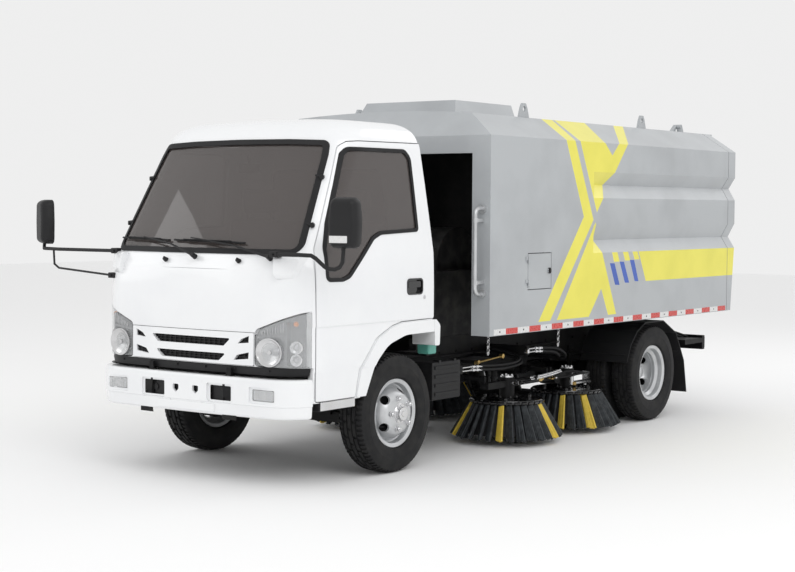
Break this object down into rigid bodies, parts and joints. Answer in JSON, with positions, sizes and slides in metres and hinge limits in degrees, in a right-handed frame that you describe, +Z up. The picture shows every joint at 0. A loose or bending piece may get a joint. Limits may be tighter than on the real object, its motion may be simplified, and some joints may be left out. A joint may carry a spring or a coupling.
{
  "type": "street sweeper truck",
  "caption": "Light cab-over street sweeper truck with a tipping hopper body, rear tailgate, tilting cab, steering, and disc brushes on lifting carriers.",
  "frame": {"origin": "middle of the whole vehicle's box, on the ground", "axes": "+Z up, +Y towards the rear of the truck, +X to the vehicle's left"},
  "size_m": [2.775, 5.8098, 2.478],
  "materials": {
    "cab_paint": "gloss",
    "body_paint": "satin",
    "frame_paint": "satin",
    "black_plastic": "matte",
    "interior_plastic": "matte",
    "seat_fabric": "matte",
    "window_glass": "gloss",
    "lamp_glass": "gloss",
    "tyre": "matte",
    "wheel_silver": "satin",
    "cast_metal": "matte",
    "bristle": "matte",
    "ram_chrome": "polished"
  },
  "bodies": {
    "root": {"chassis_frame": "frame_paint", "engine_block": "cast_metal", "driveline": "cast_metal", "front_axle": "frame_paint", "leaf_springs": "frame_paint", "rear_axle": "frame_paint", "fuel_tank": "frame_paint", "battery_box": "black_plastic", "front_bumper": "cab_paint", "rear_lamp_beam": "frame_paint", "rear_mudguards": "black_plastic", "auxiliary_engine": "cast_metal", "suction_nozzle": "frame_paint"},
    "cab": {"cab_shell": "cab_paint", "cab_floor": "black_plastic", "cab_glass": "window_glass", "grille": "cab_paint", "headlights": "lamp_glass", "dashboard": "interior_plastic", "steering_wheel": "interior_plastic", "seats": "seat_fabric", "cab_steps": "black_plastic", "mirrors": "black_plastic"},
    "left_door": {"door_left": "cab_paint", "door_glass_left": "window_glass"},
    "right_door": {"door_right": "cab_paint", "door_glass_right": "window_glass"},
    "left_knuckle": {"knuckle_left": "cast_metal"},
    "right_knuckle": {"knuckle_right": "cast_metal"},
    "front_left_wheel": {"rim_front_left": "wheel_silver", "tyre_front_left": "tyre"},
    "front_right_wheel": {"rim_front_right": "wheel_silver", "tyre_front_right": "tyre"},
    "rear_left_wheels": {"rims_rear_left": "wheel_silver", "tyres_rear_left": "tyre"},
    "rear_right_wheels": {"rims_rear_right": "wheel_silver", "tyres_rear_right": "tyre"},
    "hopper_body": {"body_shell": "body_paint", "roof_hood": "body_paint", "lifting_eyes": "body_paint", "grab_rails": "body_paint"},
    "rear_gate": {"tailgate": "body_paint"},
    "side_panel": {"access_door": "body_paint"},
    "ram_barrel": {"tip_cylinder_barrel": "frame_paint"},
    "ram_rod": {"tip_cylinder_rod": "ram_chrome"},
    "carrier_left": {"brush_carrier_left": "frame_paint"},
    "link_left_front": {"brush_link_left_front": "frame_paint"},
    "disc_left_front": {"brush_left_front": "bristle"},
    "link_left_rear": {"brush_link_left_rear": "frame_paint"},
    "disc_left_rear": {"brush_left_rear": "bristle"},
    "carrier_right": {"brush_carrier_right": "frame_paint"},
    "link_right_front": {"brush_link_right_front": "frame_paint"},
    "disc_right_front": {"brush_right_front": "bristle"},
    "link_right_rear": {"brush_link_right_rear": "frame_paint"},
    "disc_right_rear": {"brush_right_rear": "bristle"}
  },
  "joints": [
    {"name": "steer_left", "type": "hinge", "parent": "root", "child": "left_knuckle", "pos_m": [0.8605, -1.855, 0.384], "axis": [0, 0, 1], "range_deg": [-36, 36]},
    {"name": "spin_front_left", "type": "hinge", "parent": "left_knuckle", "child": "front_left_wheel", "pos_m": [0.9605, -1.855, 0.384], "axis": [1, 0, 0], "continuous": true},
    {"name": "spin_rear_left", "type": "hinge", "parent": "root", "child": "rear_left_wheels", "pos_m": [0.935, 1.505, 0.384], "axis": [1, 0, 0], "continuous": true},
    {"name": "steer_right", "type": "hinge", "parent": "root", "child": "right_knuckle", "pos_m": [-0.4755, -1.855, 0.384], "axis": [0, 0, 1], "range_deg": [-36, 36]},
    {"name": "spin_front_right", "type": "hinge", "parent": "right_knuckle", "child": "front_right_wheel", "pos_m": [-0.5755, -1.855, 0.384], "axis": [1, 0, 0], "continuous": true},
    {"name": "spin_rear_right", "type": "hinge", "parent": "root", "child": "rear_right_wheels", "pos_m": [-0.55, 1.505, 0.384], "axis": [1, 0, 0], "continuous": true},
    {"name": "cab_tilt", "type": "hinge", "parent": "root", "child": "cab", "pos_m": [0.1925, -2.855, 0.648], "axis": [1, 0, 0], "range_deg": [0, 45]},
    {"name": "door_left_hinge", "type": "hinge", "parent": "cab", "child": "left_door", "pos_m": [1.0305, -2.683, 0.9], "axis": [0, 0, -1], "range_deg": [0, 70]},
    {"name": "door_right_hinge", "type": "hinge", "parent": "cab", "child": "right_door", "pos_m": [-0.6455, -2.683, 0.9], "axis": [0, 0, 1], "range_deg": [0, 70]},
    {"name": "body_tip", "type": "hinge", "parent": "root", "child": "hopper_body", "pos_m": [0.1925, 2.445, 0.76], "axis": [-1, 0, 0], "range_deg": [0, 45]},
    {"name": "tailgate_lift", "type": "hinge", "parent": "hopper_body", "child": "rear_gate", "pos_m": [0.1925, 2.737, 2.425], "axis": [1, 0, 0], "range_deg": [0, 80]},
    {"name": "side_panel_hinge", "type": "hinge", "parent": "hopper_body", "child": "side_panel", "pos_m": [1.2245, -0.546, 1.26], "axis": [0, 0, -1], "range_deg": [0, 100]},
    {"name": "ram_pivot", "type": "hinge", "parent": "root", "child": "ram_barrel", "pos_m": [0.1925, 1.645, 0.61], "axis": [-1, 0, 0], "range_deg": [0, 62.8]},
    {"name": "ram_slide", "type": "slide", "parent": "ram_barrel", "child": "ram_rod", "axis": [0, -0.988, 0.1545], "range_m": [0, 0.495]},
    {"name": "lift_left", "type": "hinge", "parent": "root", "child": "link_left_front", "pos_m": [0.6225, -0.455, 0.47], "axis": [0, -1, 0], "range_deg": [-12, 17]},
    {"name": "lift_left_rear", "type": "hinge", "parent": "root", "child": "link_left_rear", "pos_m": [0.6225, 0.405, 0.47], "axis": [0, -1, 0], "range_deg": [-12, 17]},
    {"name": "level_left", "type": "hinge", "parent": "link_left_front", "child": "carrier_left", "pos_m": [0.7925, -0.455, 0.47], "axis": [0, -1, 0], "range_deg": [-17, 12]},
    {"name": "spin_left_front", "type": "hinge", "parent": "carrier_left", "child": "disc_left_front", "pos_m": [0.8425, -0.215, 0.34], "axis": [0, 0, 1], "continuous": true},
    {"name": "spin_left_rear", "type": "hinge", "parent": "carrier_left", "child": "disc_left_rear", "pos_m": [0.8425, 0.645, 0.34], "axis": [0, 0, 1], "continuous": true},
    {"name": "lift_right", "type": "hinge", "parent": "root", "child": "link_right_front", "pos_m": [-0.2375, -0.455, 0.47], "axis": [0, 1, 0], "range_deg": [-12, 17]},
    {"name": "lift_right_rear", "type": "hinge", "parent": "root", "child": "link_right_rear", "pos_m": [-0.2375, 0.405, 0.47], "axis": [0, 1, 0], "range_deg": [-12, 17]},
    {"name": "level_right", "type": "hinge", "parent": "link_right_front", "child": "carrier_right", "pos_m": [-0.4075, -0.455, 0.47], "axis": [0, 1, 0], "range_deg": [-17, 12]},
    {"name": "spin_right_front", "type": "hinge", "parent": "carrier_right", "child": "disc_right_front", "pos_m": [-0.4575, -0.215, 0.34], "axis": [0, 0, 1], "continuous": true},
    {"name": "spin_right_rear", "type": "hinge", "parent": "carrier_right", "child": "disc_right_rear", "pos_m": [-0.4575, 0.645, 0.34], "axis": [0, 0, 1], "continuous": true}
  ],
  "couplings": [
    {"joint": "ram_pivot", "follows": "body_tip", "ratio": 1.374},
    {"joint": "ram_slide", "follows": "body_tip", "m_per_rad": 0.618},
    {"joint": "steer_right", "follows": "steer_left", "ratio": 1},
    {"joint": "lift_left_rear", "follows": "lift_left", "ratio": 1},
    {"joint": "level_left", "follows": "lift_left", "ratio": -1},
    {"joint": "lift_right_rear", "follows": "lift_right", "ratio": 1},
    {"joint": "level_right", "follows": "lift_right", "ratio": -1}
  ]
}
